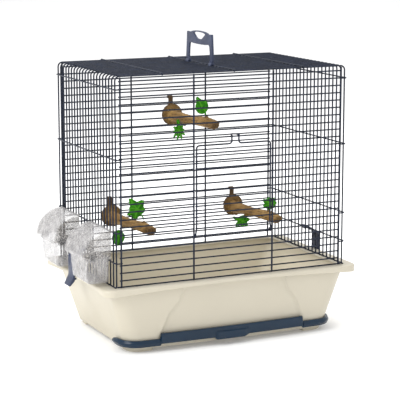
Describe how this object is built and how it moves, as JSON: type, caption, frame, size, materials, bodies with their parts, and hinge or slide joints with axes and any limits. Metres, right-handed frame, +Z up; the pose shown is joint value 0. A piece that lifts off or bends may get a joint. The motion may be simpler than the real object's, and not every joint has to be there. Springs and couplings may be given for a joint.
{
  "type": "bird cage",
  "caption": "Rectangular wire bird cage on a plastic tray, with a slide-out drawer, drop-down door, hooded outside feeders, tray clips, leafy perches and a folding carry handle.",
  "frame": {"origin": "middle of the box round the whole cage, at the underside of its feet", "axes": "+Z up, -Y towards the front with the door and the drawer, +X to the right as seen from the front; the feeders are on the -X side"},
  "size_m": [0.4894, 0.28, 0.4963],
  "materials": {
    "wire_paint": "dark navy enamel on steel wire, slightly glossy",
    "cream_plastic": "satin moulded cream plastic",
    "blue_plastic": "glossy deep navy plastic",
    "slate_plastic": "satin slate-blue plastic",
    "clear_plastic": "clear polished plastic with a faint grey tint",
    "brown_plastic": "bark-brown plastic, dull",
    "green_plastic": "leaf-green plastic, satin"
  },
  "bodies": {
    "cage": {"tray": "cream_plastic", "front_grille_lower": "wire_paint", "front_grille_left": "wire_paint", "front_grille_right": "wire_paint", "front_grille_upper": "wire_paint", "back_grille": "wire_paint", "right_grille_front": "wire_paint", "right_grille": "wire_paint", "right_grille_back": "wire_paint", "left_grille_front": "wire_paint", "left_grille_middle": "wire_paint", "left_grille_rear": "wire_paint", "left_grille_below_front_feeder": "wire_paint", "left_grille_above_front_feeder": "wire_paint", "left_grille_below_rear_feeder": "wire_paint", "left_grille_above_rear_feeder": "wire_paint", "roof_grille_front": "wire_paint", "roof_grille": "wire_paint", "roof_grille_back": "wire_paint", "front_feeder_cup": "clear_plastic", "rear_feeder_cup": "clear_plastic", "upper_perch": "brown_plastic", "upper_perch_leaf_top": "green_plastic", "upper_perch_leaf_low": "green_plastic", "left_perch": "brown_plastic", "left_perch_leaf_top": "green_plastic", "left_perch_leaf_low": "green_plastic", "right_perch": "brown_plastic", "right_perch_leaf_top": "green_plastic", "right_perch_leaf_low": "green_plastic"},
    "drawer": {"drawer_pan": "cream_plastic", "drawer_front": "blue_plastic"},
    "door": {"door_grille": "wire_paint"},
    "handle": {"carry_handle": "slate_plastic"},
    "left_clip": {"left_clip": "slate_plastic"},
    "right_clip": {"right_clip": "slate_plastic"},
    "front_hood": {"front_feeder_hood": "clear_plastic"},
    "rear_hood": {"rear_feeder_hood": "clear_plastic"}
  },
  "joints": [
    {"name": "drawer_slide", "type": "slide", "parent": "cage", "child": "drawer", "axis": [0, -1, 0], "range_m": [0, 0.18]},
    {"name": "door_hinge", "type": "hinge", "parent": "cage", "child": "door", "pos_m": [0.00762, -0.124, 0.182], "axis": [1, 0, 0], "range_deg": [0, 150]},
    {"name": "handle_hinge", "type": "hinge", "parent": "cage", "child": "handle", "pos_m": [0.00762, 0, 0.44395], "axis": [0, 1, 0], "range_deg": [-70, 70]},
    {"name": "left_clip_hinge", "type": "hinge", "parent": "cage", "child": "left_clip", "pos_m": [-0.19632, 0.0062, 0.1505], "axis": [0, 1, 0], "range_deg": [0, 60]},
    {"name": "right_clip_hinge", "type": "hinge", "parent": "cage", "child": "right_clip", "pos_m": [0.21158, 0.0062, 0.1505], "axis": [0, -1, 0], "range_deg": [0, 60]},
    {"name": "front_hood_hinge", "type": "hinge", "parent": "cage", "child": "front_hood", "pos_m": [-0.22873, -0.0682, 0.159], "axis": [0, -1, 0], "range_deg": [0, 50]},
    {"name": "rear_hood_hinge", "type": "hinge", "parent": "cage", "child": "rear_hood", "pos_m": [-0.22873, 0.0682, 0.159], "axis": [0, -1, 0], "range_deg": [0, 50]}
  ]
}
